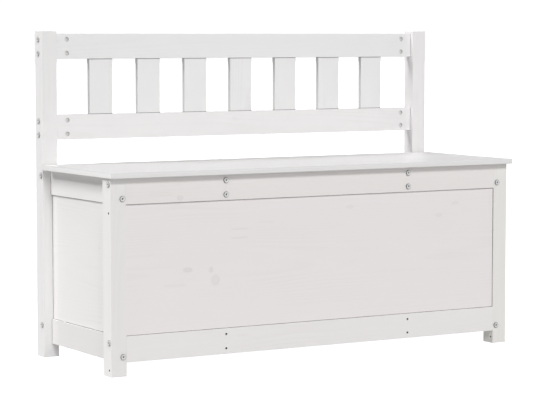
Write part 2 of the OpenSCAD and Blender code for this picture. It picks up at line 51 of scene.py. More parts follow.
class Wire:
    def __init__(self, sheet, socket):
        self.sheet, self.socket = sheet, socket

    def out(self, name):  # another output of the same node
        return Wire(self.sheet, self.socket.node.outputs[name])

    def math(self, operation, *values, clamp=False):
        return self.sheet.add("ShaderNodeMath", {"operation": operation, "use_clamp": clamp},
                              dict(enumerate(values)))

    def __add__(self, other):
        return self.math("ADD", self, other)

    def __radd__(self, other):
        return self.math("ADD", other, self)

    def __sub__(self, other):
        return self.math("SUBTRACT", self, other)

    def __rsub__(self, other):
        return self.math("SUBTRACT", other, self)

    def __mul__(self, other):
        return self.math("MULTIPLY", self, other)

    def __rmul__(self, other):
        return self.math("MULTIPLY", other, self)

    def __truediv__(self, other):
        return self.math("DIVIDE", self, other)

    def __rtruediv__(self, other):
        return self.math("DIVIDE", other, self)

    def __abs__(self):
        return self.math("ABSOLUTE", self)

    def least(self, other):
        return self.math("MINIMUM", self, other)

    def most(self, other):
        return self.math("MAXIMUM", self, other)

    def clamped(self):
        return self.math("ADD", self, 0, clamp=True)

    def floor(self):
        return self.math("FLOOR", self)

    def fraction(self):
        return self.math("FRACT", self)

    def root(self):
        return self.math("SQRT", self)

    def cosine(self):
        return self.math("COSINE", self)

    def sine(self):
        return self.math("SINE", self)

    def tangent(self):
        return self.math("TANGENT", self)

    def ramp(self, start, end):  # smooth step from 0 at start to 1 at end
        low, high, a, b = (start, end, 0, 1) if start < end else (end, start, 1, 0)
        return self.sheet.add("ShaderNodeMapRange", {"interpolation_type": "SMOOTHSTEP"},
                              {0: self, 1: low, 2: high, 3: a, 4: b})


class Sheet:
    def __init__(self, tree):
        self.tree = tree

    def add(self, kind, settings=None, sockets=None):
        node = self.tree.nodes.new(kind)
        for name, value in (settings or {}).items():
            setattr(node, name, value)
        for key, value in (sockets or {}).items():
            if isinstance(value, Wire):
                self.tree.links.new(value.socket, node.inputs[key])
            else:
                node.inputs[key].default_value = value
        shown = [socket for socket in node.outputs if socket.enabled]
        return Wire(self, shown[0]) if shown else None

    def vector(self, operation, *values):
        return self.add("ShaderNodeVectorMath", {"operation": operation}, dict(enumerate(values)))

    def join(self, x, y, z):
        return self.add("ShaderNodeCombineXYZ", {}, {0: x, 1: y, 2: z})

    def split(self, vector):
        made = self.add("ShaderNodeSeparateXYZ", {}, {0: vector})
        return made, made.out("Y"), made.out("Z")

    def blend(self, share, a, b):  # two colours
        return self.add("ShaderNodeMix", {"data_type": "RGBA"}, {0: share, 6: a, 7: b}).out(2)

    def noise(self, spot, often, slide, **sockets):  # often: how many times it repeats in a metre
        parts = [part * rate + aside for part, rate, aside in zip(spot, often, slide)]
        return self.add("ShaderNodeTexNoise", {}, {"Vector": self.join(*parts), "Scale": 1.0, **sockets})

    def bump(self, height):
        return self.add("ShaderNodeBump", {}, {"Strength": 1.0, "Distance": 1.0, "Height": height})

    def dress(self, sockets):  # the surface that a material shows
        shader = self.add("ShaderNodeBsdfPrincipled", {}, sockets)
        self.add("ShaderNodeOutputMaterial", {}, {"Surface": shader})


def newFinish(name):  # an empty material and its sheet
    material = bpy.data.materials.new(name)
    material.use_nodes = True
    sheet = Sheet(material.node_tree)
    sheet.tree.nodes.clear()
    return material, sheet


# Geometry Nodes: every tree takes points and ends in Realize Instances and Set Material

def newTree(name, inputs):
    tree = bpy.data.node_groups.new(name, "GeometryNodeTree")
    tree.interface.new_socket("Geometry", in_out="INPUT", socket_type="NodeSocketGeometry")
    tree.interface.new_socket("Geometry", in_out="OUTPUT", socket_type="NodeSocketGeometry")
    for label, kind in inputs:
        tree.interface.new_socket(label, in_out="INPUT", socket_type="NodeSocket" + kind)
    sheet, given = Sheet(tree), tree.nodes.new("NodeGroupInput")

    def give(label):
        return Wire(sheet, given.outputs[label])

    return sheet, give


def endTree(sheet, instances, material):  # gives the finished tree
    solid = sheet.add("GeometryNodeRealizeInstances", {}, {0: instances})
    dressed = sheet.add("GeometryNodeSetMaterial", {}, {"Geometry": solid, "Material": material})
    sheet.add("NodeGroupOutput", {}, {0: dressed})
    return sheet.tree


def keepOwnPlace(sheet, geometry):  # each copy's own coordinates, which its finish reads
    return sheet.add("GeometryNodeStoreNamedAttribute", {"data_type": "FLOAT_VECTOR"},
                     {"Geometry": geometry, "Name": "ownPlace",
                      "Value": sheet.add("GeometryNodeInputPosition")})


def turnedTree():  # a turned body with a recess cut in it, put at every point
    sheet, give = newTree("turnedParts", [("Profile", "Object"), ("Recess", "Object"),
                                          ("Sides", "Int"), ("Finish", "Material")])
    weldGap = 1e-6
    line = sheet.add("GeometryNodeObjectInfo", {}, {"Object": give("Profile")}).out("Geometry")
    rows = sheet.add("GeometryNodeAttributeDomainSize", {}, {0: line})
    grid = sheet.add("GeometryNodeMeshGrid", {}, {"Size X": 1.0, "Size Y": 1.0,
                                                  "Vertices X": give("Sides") + 1, "Vertices Y": rows})
    x, y, _ = sheet.split(sheet.add("GeometryNodeInputPosition"))
    row = ((y + 0.5) * (rows - 1) + 0.5).floor()
    spot = sheet.add("GeometryNodeSampleIndex", {"data_type": "FLOAT_VECTOR"},
                     {"Geometry": line, "Value": sheet.add("GeometryNodeInputPosition"), "Index": row})
    radius, _, height = sheet.split(spot)
    angle = (x + 0.5) * math.tau
    place = sheet.join(radius * angle.cosine(), radius * angle.sine(), height)
    lathed = sheet.add("GeometryNodeSetPosition", {}, {"Geometry": grid, "Position": place})
    closed = sheet.add("GeometryNodeMergeByDistance", {}, {"Geometry": lathed, "Distance": weldGap})
    tool = sheet.add("GeometryNodeObjectInfo", {}, {"Object": give("Recess")}).out("Geometry")
    cut = sheet.add("GeometryNodeMeshBoolean", {"operation": "DIFFERENCE"}, {0: closed, 1: tool})
    turn = sheet.add("GeometryNodeInputNamedAttribute", {"data_type": "FLOAT_VECTOR"}, {"Name": "turn"})
    placed = sheet.add("GeometryNodeInstanceOnPoints", {},
                       {"Points": give("Geometry"), "Instance": keepOwnPlace(sheet, cut),
                        "Rotation": sheet.add("FunctionNodeEulerToRotation", {}, {0: turn})})
    return endTree(sheet, placed, give("Finish"))


def boardTree():  # a board whose edges and corners are rounded, put at every point
    sheet, give = newTree("easedBoards", [("Size", "Vector"), ("Edge radius", "Float"),
                                          ("Steps", "Int"), ("Finish", "Material")])
    many = give("Steps") * 2 + 2
    cube = sheet.add("GeometryNodeMeshCube", {}, {"Size": (1, 1, 1), "Vertices X": many,
                                                  "Vertices Y": many, "Vertices Z": many})
    here = sheet.add("GeometryNodeInputPosition")
    side = sheet.vector("SIGN", here)
    radius = sheet.join(give("Edge radius"), give("Edge radius"), give("Edge radius"))
    half = sheet.vector("MULTIPLY", give("Size"), (0.5, 0.5, 0.5))
    core = sheet.vector("SUBTRACT", half, radius)
    bands = []
    for axis in sheet.split(sheet.vector("ABSOLUTE", here)):  # 0 where the flat ends, 45 degrees at the edge
        step = (axis * (many - 1) - 0.5) / give("Steps")
        bands.append((step * (math.pi / 4)).tangent())
    outward = sheet.vector("NORMALIZE", sheet.vector("MULTIPLY", side, sheet.join(*bands)))
    shell = sheet.vector("ADD", sheet.vector("MULTIPLY", side, core),
                         sheet.vector("MULTIPLY", outward, radius))
    eased = sheet.add("GeometryNodeSetPosition", {}, {"Geometry": cube, "Position": shell})
    placed = sheet.add("GeometryNodeInstanceOnPoints", {},
                       {"Points": give("Geometry"), "Instance": keepOwnPlace(sheet, eased)})
    return endTree(sheet, placed, give("Finish"))


def grown(name, tree, places, values, sharp=35):  # runs a tree on points and keeps the plain mesh
    points = bpy.data.meshes.new(name + "Points")
    points.from_pydata([spot for spot, _ in places], [], [])
    turns = points.attributes.new("turn", "FLOAT_VECTOR", "POINT")
    turns.data.foreach_set("vector", [angle for _, turn in places for angle in turn])
    host = bpy.data.objects.new(name + "Host", points)
    bpy.context.scene.collection.objects.link(host)
    modifier = host.modifiers.new("grow", "NODES")
    modifier.node_group = tree
    for item in tree.interface.items_tree:
        if item.in_out == "INPUT" and item.name in values:
            modifier[item.identifier] = values[item.name]
    host.update_tag()
    graph = bpy.context.evaluated_depsgraph_get()
    mesh = bpy.data.meshes.new_from_object(host.evaluated_get(graph))
    host.modifiers.remove(modifier)
    bpy.data.objects.remove(host)
    mesh.name = name
    mesh.attributes.remove(mesh.attributes["turn"])
    mesh.materials.clear()
    mesh.materials.append(values["Finish"])
    mesh.polygons.foreach_set("material_index", [0] * len(mesh.polygons))
    mesh.shade_smooth()
    mesh.set_sharp_from_angle(angle=math.radians(sharp))
    made = bpy.data.objects.new(name, mesh)
    bpy.context.scene.collection.objects.link(made)
    return made


def toolObject(name, corners, edges=(), faces=()):  # a hidden helper that a tree reads
    mesh = bpy.data.meshes.new(name)
    mesh.from_pydata(corners, list(edges), list(faces))
    made = bpy.data.objects.new(name, mesh)
    bpy.context.scene.collection.objects.link(made)
    return made


def profileOf(name, rows):  # rows of (radius, height), from the axis outwards and back to it
    return toolObject(name, [(r, 0, z) for r, z in rows], [(i, i + 1) for i in range(len(rows) - 1)])


def prism(outline, low, high, shrink=1.0, axis="z"):  # corners and faces, the far end shrunk
    n = len(outline)
    ring = [(x, y, low) for x, y in outline] + [(x * shrink, y * shrink, high) for x, y in outline]
    if axis == "y":
        ring = [(x, z, -y) for x, y, z in ring]
    faces = [tuple(range(n))[::-1], tuple(range(n, 2 * n))]
    faces += [(i, (i + 1) % n, n + (i + 1) % n, n + i) for i in range(n)]
    return ring, faces


def ringOf(count, radius):
    turns = [math.tau * i / count for i in range(count)]
    return [(radius * math.cos(turn), radius * math.sin(turn)) for turn in turns]


def joined(solids):  # several prisms as one tool
    corners, faces = [], []
    for points, sides in solids:
        faces += [tuple(i + len(corners) for i in side) for side in sides]
        corners += points
    return corners, (), faces


# Painted pine. Grain, growth rings and knots show faintly through a satin white paint

paint = {
    "white": (0.842, 0.832, 0.828, 1),
    "thin": (0.715, 0.700, 0.680, 1),      # where latewood shows through
    "knot": (0.610, 0.570, 0.555, 1),      # where a knot shows through
    "edge": (0.760, 0.750, 0.738, 1),      # paint drawn thin on an edge
    "gap": (0.035, 0.033, 0.031, 1),       # painted shade: the dark line where a panel or slat goes into the frame
    "borePaintedShade": (0.220, 0.205, 0.190, 1),      # painted shade on the wall of a small drilled hole
    "wideBorePaintedShade": (0.500, 0.485, 0.470, 1),  # lighter painted shade on the wall of a wide hole
    "ringShow": 0.16,                      # how strongly the rings show, and then the other marks
    "cloudShow": 0.10,
    "streakShow": 0.5,
    "knotShow": 0.42,
    "knotParts": (0.55, 0.50),             # what a knot's core adds, and its dark ring
    "edgeShow": 0.22,
    "edgeFibre": (0.55, 0.6),              # an edge's own share, and what the fibre adds
    "edgeWidth": 0.9 * mm,
    "edgeFull": 0.2 * mm,
    "gapWidth": 1.2 * mm,
    "gapRagged": 0.6 * mm,
    "joint": 0.7 * mm,                     # the painted shade line where a rail set back meets its posts
    "jointRagged": 0.3 * mm,
    "lineFull": 0.6,                       # the share of a dark line's width that is fully dark
    "wide": 4 * mm,                        # the radius from which a hole is wide
    "boreEdge": 0.12 * mm,
    "boreFloor": 0.1 * mm,
    "sideFrom": 0.8 * mm,                  # how far in the painted shade of the sides begins, and is full
    "sideFull": 0.2 * mm,
    "specular": 0.4,
    "roughness": 0.44,
    "fibreRough": 0.10,                    # what fibre, latewood and edges add to the roughness
    "lateRough": 0.03,
    "edgeRough": 0.05,
    "fibreHeight": 0.012 * mm,
    "ringHeight": 0.020 * mm,
    "knotHeight": 0.060 * mm,
}

grain = {  # rates are how many times a pattern repeats in a metre: along the grain, across, through
    "sway": (1.6, 7, 7),
    "wander": (150, 190, 40),
    "patch": (4, 14, 14),
    "fibre": (26, 620, 620),
    "cloud": (5, 18, 18),
    "ringGap": 4.5 * mm,
    "late": (0.35, 0.92),                  # where in a ring the latewood begins, and is full
    "lateEnd": (1.0, 0.94),
    "patchFrom": (0.42, 0.70),
    "patchShare": (0.8, 0.2),              # what a patch adds to the rings, and what shows anywhere
    "cloudMean": 0.35,
    "climb": 0.010,                        # how fast rings run out along a board
    "bend": 0.022,
    "pithAside": 0.8,                      # the pith's place across a board, as a share of its half
    "pithNear": 0.02,                      # how far behind the face it lies, in metres
    "pithFar": 0.05,
    "stavePithMore": 0.05,
    "pithSlide": 3.0,                      # how far along a board its pattern may be slid, in metres
    "staveChance": 1.37,                   # keeps the staves of two boards from being alike
    "push": 0.55,                          # how far a knot pushes the rings aside
    "streakBend": 0.004,
    "streakPast": 8 * mm,                  # where a streak fades out past its ends
    "streakInside": 4 * mm,
}

knots = {  # ramps are in radii of the knot itself
    "ragged": (0.70, 0.60),
    "core": (1.15, 0.55),
    "ringIn": (0.55, 0.90),
    "ringOut": (1.45, 1.00),
    "push": (3.4, 0.6),
    "often": (3.1, 10, 2),                 # the cells in a metre that may hold a chance knot
    "luck": (0.74, 0.78),
    "size": (2.0 * mm, 5.5 * mm),          # the least half width, and what chance adds
    "long": 1.35,
    "faint": 0.5,
}

grainAxes = {"x": (0, 1, 2), "y": (1, 0, 2), "z": (2, 0, 1)}  # along the grain, across it, through it

paintedLightTints = {  # factors on the paint, painted light and shade set so that each board's tone comes near the photograph's
    "front_panel": (1.053, 1.015, 1.021), "left_panel": (1.010, 1.002, 0.998),
    "front_top_rail": (1.020, 0.996, 0.986), "front_bottom_rail": (1.046, 1.030, 1.030),
    "left_top_rail": (1.036, 1.028, 1.022), "left_bottom_rail": (0.944, 0.935, 0.931),
    "front_left_post": (1.025, 1.016, 1.011), "front_right_post": (1.026, 1.019, 0.986),
    "back_left_post": (1.012, 1.012, 1.014), "back_right_post": (1.024, 1.010, 1.022),
    "backrest_top_rail": (1.006, 1.013, 1.020), "backrest_lower_rail": (1.003, 0.999, 1.002),
}


def knotMarks(u, v, spot, size, wander):  # core, dark ring, and how far the grain is pushed aside
    du, dv = (u - spot[0]) / size[0], (v - spot[1]) / size[1]
    least, more = knots["ragged"]
    away = (du * du + dv * dv).root() * (least + wander * more)
    core = away.ramp(*knots["core"])
    ring = away.ramp(*knots["ringIn"]) * away.ramp(*knots["ringOut"])
    push = (v - spot[1]) * away.ramp(*knots["push"])
    return core, ring, push


def allKnots(sheet, spot, marks, shift):  # at the places given, or else a few by chance
    u, v, w = spot
    wander = sheet.noise(spot, grain["wander"], (0, shift[0], 0), Detail=2.0)
    found = []
    for cu, cv, ru, rv, strength in marks:
        core, ring, push = knotMarks(u, v, (cu, cv), (ru, rv), wander)
        found.append((core * strength, ring * strength, push))
    if not marks:
        a, b, c = knots["often"]
        net = sheet.join(u * a + shift[1], v * b + shift[2], w * c + shift[0])
        cell = sheet.add("ShaderNodeTexVoronoi", {"feature": "F1"}, {"Vector": net, "Scale": 1.0})
        luck, fate, _ = sheet.split(cell.out("Color"))
        px, py, _ = sheet.split(cell.out("Position"))
        least, more = knots["size"]
        size = least + luck * more
        middle = ((px - shift[1]) / a, (py - shift[2]) / b)
        core, ring, push = knotMarks(u, v, middle, (size * knots["long"], size), wander)
        there = fate.ramp(*knots["luck"])
        found.append((core * there * knots["faint"], ring * there * knots["faint"], push * there))
    knotCore, knotRing, pushed = found[0]
    for core, ring, push in found[1:]:
        knotCore, knotRing, pushed = knotCore.most(core), knotRing.most(ring), pushed + push
    return knotCore, knotRing, pushed


def streaksOf(streaks, u, across, sway):  # the streaks at the places given, or None
    streak = None
    past, within = grain["streakPast"], grain["streakInside"]
    for u0, u1, cv, thick, strength in streaks:
        lit = u.ramp(u0 - past, u0 + within) * u.ramp(u1 + past, u1 - within)
        line = abs(across + (sway - 0.5) * grain["streakBend"] - cv).ramp(thick, 0) * lit * strength
        streak = line if streak is None else streak.most(line)
    return streak


def paintedPine(name, along, wide, centre, half, seed, stave=0, marks=(), streaks=(),
                own=False, opening=None, tint=(1, 1, 1), bores=(), ends=False, topPaintedShade=None,
                sidePaintedShade=None):
    material, sheet = newFinish(name)
    draw = random.Random(seed)
    place = sheet.add("ShaderNodeTexCoord").out("Object")
    xyz = sheet.split(place)
    a, b, c = grainAxes[along]
    if wide == c:
        b, c = c, b
    u, v, w = xyz[a], xyz[b], xyz[c]
    shift = [draw.uniform(-9, 9) for _ in range(3)]
    sway = sheet.noise((u, v, w), grain["sway"], shift, Detail=2.0)
    knotCore, knotRing, pushed = allKnots(sheet, (u, v, w), marks, shift)

    # growth rings round a pith behind the face, one pith for each glued stave
    across = v - pushed * grain["push"]
    if stave:
        number = ((v - (centre[b] - half[b])) / stave).floor()
        chance = sheet.add("ShaderNodeTexWhiteNoise", {"noise_dimensions": "1D"},
                           {"W": number + seed * grain["staveChance"]})
        one, two, three = sheet.split(chance.out("Color"))
        pith = centre[b] - half[b] + (number + 0.5) * stave + (one - 0.5) * stave
        deep = centre[c] + grain["pithNear"] + two * grain["stavePithMore"]
        slide = three * grain["pithSlide"]
    else:
        pith = centre[b] + draw.uniform(-grain["pithAside"], grain["pithAside"]) * half[b]
        deep = centre[c] + draw.uniform(grain["pithNear"], grain["pithFar"])
        slide = draw.uniform(0, grain["pithSlide"])
    dv, dw = across - pith, w - deep
    reach = (dv * dv + dw * dw).root() + (u + slide) * grain["climb"] + sway * grain["bend"]
    phase = (reach / grain["ringGap"]).fraction()
    late = phase.ramp(*grain["late"]) * phase.ramp(*grain["lateEnd"])
    patch = sheet.noise((u, v, w), grain["patch"], (shift[2], 0, 0), Detail=1.0).ramp(*grain["patchFrom"])
    fibre = sheet.noise((u, v, w), grain["fibre"], (0, shift[0], 0), Detail=2.0, Roughness=0.6)
    cloud = sheet.noise((u, v, w), grain["cloud"], (shift[1], 0, 0), Detail=3.0)
    streak = streaksOf(streaks, u, across, sway)

    # edges: the second smallest of the three distances to the piece's faces
    local = sheet.add("ShaderNodeAttribute", {"attribute_name": "ownPlace"}).out("Vector") if own else place
    middle = (0, 0, 0) if own else centre
    sides = sheet.split(local)
    gaps = [half[i] - abs(part - middle[i]) for i, part in enumerate(sides)]
    second = gaps[0].least(gaps[1]).most(gaps[0].most(gaps[1]).least(gaps[2]))
    least, more = paint["edgeFibre"]
    edge = second.ramp(paint["edgeWidth"], paint["edgeFull"]) * (least + fibre * more)

    more, least = grain["patchShare"]
    tone = (late * (patch * more + least) * paint["ringShow"]
            + (cloud - grain["cloudMean"]) * paint["cloudShow"])
    if streak is not None:
        tone = tone + streak * paint["streakShow"]
    colour = sheet.blend(tone.clamped(), paint["white"], paint["thin"])
    # painted light and shade: a tint that evens out the tone each board gets from the lamps
    colour = sheet.vector("MULTIPLY", colour, tint)
    # painted shade on the top face, darker at one end, and on the rounded edges
    if topPaintedShade:
        upper = (w - centre[c]).ramp(half[c] - topPaintedShade["from"], half[c] - topPaintedShade["full"])
        paintedShadeThere = sheet.blend(u.ramp(0, half[a]), topPaintedShade["left"], topPaintedShade["right"])
        colour = sheet.blend(upper, colour, sheet.vector("MULTIPLY", colour, paintedShadeThere))
        rounding = second.ramp(topPaintedShade["roundFrom"], topPaintedShade["roundFull"])
        colour = sheet.blend(rounding, colour, sheet.vector("MULTIPLY", colour, topPaintedShade["rounded"]))
    # painted shade on the piece's sides
    if sidePaintedShade:
        aside = abs(sides[b] - middle[b]).ramp(half[b] - paint["sideFrom"], half[b] - paint["sideFull"])
        colour = sheet.blend(aside, colour, sheet.vector("MULTIPLY", colour, sidePaintedShade))
    ofCore, ofRing = paint["knotParts"]
    shown = (knotCore * ofCore + knotRing * ofRing) * paint["knotShow"]
    colour = sheet.blend(shown.clamped(), colour, paint["knot"])
    colour = sheet.blend((edge * paint["edgeShow"]).clamped(), colour, paint["edge"])
    # painted shade: a dark line round the bare part, where a panel or slat goes into the frame
    if opening:
        u0, u1, v0, v1 = opening
        inside = (u - u0).least(u1 - u).least((v - v0).least(v1 - v)) + (fibre - 0.5) * paint["gapRagged"]
        dark = inside.ramp(paint["gapWidth"], paint["gapWidth"] * paint["lineFull"])
        colour = sheet.blend(dark, colour, paint["gap"])
    # painted shade where a set-back rail meets its posts
    if ends:
        fromEnd = half[a] - abs(u - centre[a]) + (fibre - 0.5) * paint["jointRagged"]
        dark = fromEnd.ramp(paint["joint"], paint["joint"] * paint["lineFull"])
        colour = sheet.blend(dark, colour, paint["gap"])
    # painted shade on the walls of open holes
    for bottom, out, radius in bores:
        deep = [abs(part) > 0.5 for part in out].index(True)
        du, dv = [xyz[i] - bottom[i] for i in range(3) if i != deep]
        wall = ((du * du + dv * dv).root() - radius).ramp(paint["boreEdge"], paint["boreEdge"] * 0.5)
        depth = ((xyz[deep] - bottom[deep]) * out[deep]).ramp(0, paint["boreFloor"])
        colour = sheet.blend(wall * depth, colour, paint["wideBorePaintedShade" if radius > paint["wide"] else "borePaintedShade"])
    rough = (paint["roughness"] + (fibre - 0.5) * paint["fibreRough"] + late * paint["lateRough"]
             + edge * paint["edgeRough"])
    height = (fibre * paint["fibreHeight"] - late * patch * paint["ringHeight"]
              - knotRing * paint["knotHeight"] + knotCore * (paint["knotHeight"] * 0.5))
    sheet.dress({"Base Color": colour, "Roughness": rough, "Normal": sheet.bump(height),
                 "Specular IOR Level": paint["specular"]})
    return material


# Zinc-plated steel. Turned parts get painted shade in their recesses and round their rims

steel = {
    "face": (0.800, 0.795, 0.790, 1),
    "dull": (0.680, 0.675, 0.670, 1),
    # the painted shade in recesses and round rims
    "dark": (0.070, 0.068, 0.066, 1),
    "mottle": 900.0,                       # the scales of the blotches and of the zinc's crystals
    "crystals": 1400.0,
    "mottleFrom": (0.35, 0.75),
    "mottleShow": 0.55,
    "crystalShow": 0.2,
    "mottleHeight": 0.02 * mm,
    "marks": 5200,                         # turning marks, in radians of their waves for each metre
    "marksHeight": 0.004 * mm,
    "roughness": 0.42,
    "mottleRough": 0.16,
    "metallic": 0.35,
    "rimWidth": 1.0 * mm,
    "rimFull": 0.3,
    "rimShade": 0.94,
    "wellShade": 0.72,
    "wellBlur": 1.15,
    "sideShade": 0.55,                     # what is left of both shades on the posts' outer sides
    "sideFrom": 12 * mm,                   # how far in from those sides the shades begin to weaken
    "sideFull": 8 * mm,                    # and from where on they are weakest
}


# rim: the radius where it gets painted shade. well: heights from which and to which it gets painted shade,
# within the radius wellWide. side: how far out along X the posts' sides lie. shade: the strength of both
# painted shades
def platedSteel(name, rim=None, well=(0, 0), wellWide=1.0, side=None, shade=1.0):
    material, sheet = newFinish(name)
    place = sheet.add("ShaderNodeTexCoord").out("Object")
    mottle = sheet.add("ShaderNodeTexNoise", {}, {"Vector": place, "Scale": steel["mottle"], "Detail": 3.0})
    crystal = sheet.add("ShaderNodeTexVoronoi", {}, {"Vector": place, "Scale": steel["crystals"]})
    grainy, _, _ = sheet.split(crystal.out("Color"))
    blotch = mottle.ramp(*steel["mottleFrom"]) * steel["mottleShow"] + grainy * steel["crystalShow"]
    colour = sheet.blend(blotch.clamped(), steel["face"], steel["dull"])
    height = mottle * steel["mottleHeight"]
    if rim:
        own = sheet.add("ShaderNodeAttribute", {"attribute_name": "ownPlace"}).out("Vector")
        x, y, z = sheet.split(own)
        radius = (x * x + y * y).root()
        height = height + (radius * steel["marks"]).sine() * steel["marksHeight"]
        kept = shade
        if side:
            aside = abs(sheet.split(place)[0]).ramp(side - steel["sideFrom"], side - steel["sideFull"])
            kept = (1.0 - aside * (1 - steel["sideShade"])) * shade
        outer = radius.ramp(rim - steel["rimWidth"], rim - steel["rimWidth"] * steel["rimFull"])
        colour = sheet.blend(outer * steel["rimShade"] * kept, colour, steel["dark"])
        inner = z.ramp(*well) * radius.ramp(wellWide * steel["wellBlur"], wellWide)
        colour = sheet.blend(inner * steel["wellShade"] * kept, colour, steel["dark"])
    sheet.dress({"Base Color": colour, "Metallic": steel["metallic"], "Normal": sheet.bump(height),
                 "Roughness": steel["roughness"] + mottle * steel["mottleRough"]})
    return material


beech = {
    "pale": (0.68, 0.50, 0.31, 1),
    "warm": (0.80, 0.64, 0.44, 1),
    "pore": (0.42, 0.28, 0.16, 1),
    "flecks": 700.0,                       # scales of the flecks and pores
    "pores": 1500.0,
    "poreShow": 0.5,
    "height": 0.03 * mm,
    "roughness": 0.55,
    "fleckRough": 0.15,
}


def turnedBeech(name):
    material, sheet = newFinish(name)
    place = sheet.add("ShaderNodeTexCoord").out("Object")
    fleck = sheet.add("ShaderNodeTexNoise", {}, {"Vector": place, "Scale": beech["flecks"], "Detail": 3.0})
    pore = sheet.add("ShaderNodeTexVoronoi", {}, {"Vector": place, "Scale": beech["pores"]}).ramp(0.25, 0.05)
    colour = sheet.blend(fleck.ramp(0.3, 0.7), beech["pale"], beech["warm"])
    colour = sheet.blend(pore * beech["poreShow"], colour, beech["pore"])
    sheet.dress({"Base Color": colour, "Normal": sheet.bump((fleck - pore) * beech["height"]),
                 "Roughness": beech["roughness"] + fleck * beech["fleckRough"]})
    return material


# Fasteners: sizes and places

bolts = {"headWidth": 13 * mm, "headHeight": 2.5 * mm, "rim": 0.8 * mm, "rimSteps": 6,
         "dishDeep": 0.35 * mm, "dishSlope": 0.6 * mm, "underEdge": 0.25 * mm,
         "socket": 4 * mm, "socketDeep": 2.2 * mm, "well": (0.3 * mm, 0.7 * mm), "wellShare": 0.62,
         "shank": 6 * mm, "point": 1 * mm, "pointIn": 0.8 * mm, "past": 2 * mm,
         "pair": 32 * mm, "sides": 48}
nuts = {"width": 10 * mm, "length": 13 * mm, "chamfer": 0.4 * mm, "slot": 1.2 * mm, "slotDeep": 1.2 * mm,
        "thread": 6.2 * mm, "threadSides": 24, "well": (0.1 * mm, 0.5 * mm), "hole": 10.4 * mm,
        "holeFloor": 0.3 * mm, "back": 30 * mm, "sides": 40,
        "shade": 0.05}  # they get hardly any painted shade at the rim and in the slot, unlike the bolts
screws = {"head": 5.6 * mm, "headEdge": 0.15 * mm, "shank": 3 * mm, "tip": 0.6 * mm,
          "cross": 3 * mm, "crossWide": 0.8 * mm, "crossDeep": 1.2 * mm, "crossLift": 0.4 * mm,
          "crossTaper": 0.7, "well": (0.15 * mm, 0.5 * mm), "sides": 32}
sunkScrews = {"head": 4.8 * mm, "headEdge": 0.4 * mm, "shank": 4 * mm, "length": 40 * mm,
              "sunk": 8 * mm, "hole": 5 * mm, "holeFloor": 0.5 * mm}
proud = 1 * mm  # how far a cutting tool stands out of what it cuts


def middleOf(name):
    low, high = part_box(name)
    return (low + high) / 2, (high - low) / 2


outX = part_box("front_right_post")[1].x
frontY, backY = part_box("front_right_post")[0].y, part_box("back_right_post")[1].y
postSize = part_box("front_right_post")[1].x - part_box("front_right_post")[0].x
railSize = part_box("front_top_rail")[1].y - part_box("front_top_rail")[0].y
boxRails = ("bottom_rail", "top_rail")


def boltsOfPosts():  # (head, direction of the bolt, direction in which its nut's hole opens)
    made = []
    for side in (1, -1):
        sideName = "right" if side > 0 else "left"
        inward, ahead = Vector((-side, 0, 0)), Vector((0, 1, 0))
        for rail in boxRails:
            for run, opening in (("front_", ahead), ("back_", -ahead)):
                c = middleOf(run + rail)[0]
                made.append((Vector((side * outX, c.y, c.z + bolts["pair"] / 2)), inward, opening))
            c = middleOf(sideName + "_" + rail)[0]
            for y, way in ((frontY, ahead), (backY, -ahead)):
                made.append((Vector((c.x, y, c.z - bolts["pair"] / 2)), way, inward))
        for rail in ("backrest_lower_rail", "backrest_top_rail"):
            c = middleOf(rail)[0]
            for s in (-1, 1):
                made.append((Vector((side * outX, c.y, c.z + s * bolts["pair"] / 2)), inward, -ahead))
    return made


def pairsOfBearers(kind, rail):
    made = []
    for side, name in ((1, "right"), (-1, "left")):
        x = middleOf("%s_bearer_%s" % (kind, name))[0].x
        for run, edge, way in (("front_", 0, 1), ("back_", 1, -1)):
            c, y = middleOf(run + rail)[0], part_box(run + rail)[edge].y
            for s in (-1, 1):
                made.append((Vector((x, y, c.z + s * bolts["pair"] / 2)), Vector((0, way, 0)),
                             Vector((-side, 0, 0))))
    return made


# Timber nodes: grain axis, the axis across the widest face, and the width of a glued stave

panelStave, floorStave = 74 * mm, 68 * mm
timber = {
    "front_left_post": ("z", 0, 0), "front_right_post": ("z", 0, 0),
    "back_left_post": ("z", 0, 0), "back_right_post": ("z", 0, 0),
    "front_top_rail": ("x", 2, 0), "front_bottom_rail": ("x", 2, 0),
    "back_top_rail": ("x", 2, 0), "back_bottom_rail": ("x", 2, 0),
    "left_top_rail": ("y", 2, 0), "left_bottom_rail": ("y", 2, 0),
    "right_top_rail": ("y", 2, 0), "right_bottom_rail": ("y", 2, 0),
    "front_panel": ("x", 2, panelStave), "back_panel": ("x", 2, panelStave),
    "left_panel": ("y", 2, panelStave), "right_panel": ("y", 2, panelStave),
    "seat_bearer_left": ("y", 2, 0), "seat_bearer_right": ("y", 2, 0),
    "floor_bearer_left": ("y", 2, 0), "floor_bearer_right": ("y", 2, 0),
    "floor_board": ("x", 1, floorStave),
    "backrest_top_rail": ("x", 2, 0), "backrest_lower_rail": ("x", 2, 0),
    "lid_batten_left": ("y", 0, 0), "lid_batten_right": ("y", 0, 0),
}

knotPlaces = {  # u, v, half width along the grain, half width across it, strength
    "front_panel": [(-0.342, 0.226, 0.010, 0.0048, 1.0), (-0.283, 0.223, 0.0045, 0.0060, 1.0),
                    (-0.272, 0.199, 0.0095, 0.0105, 0.7), (0.385, 0.346, 0.0090, 0.0035, 0.6),
                    (0.338, 0.319, 0.0075, 0.0040, 0.6), (0.086, 0.349, 0.0080, 0.0035, 0.5)],
    "front_top_rail": [(-0.363, 0.387, 0.0070, 0.0050, 0.8)],
}

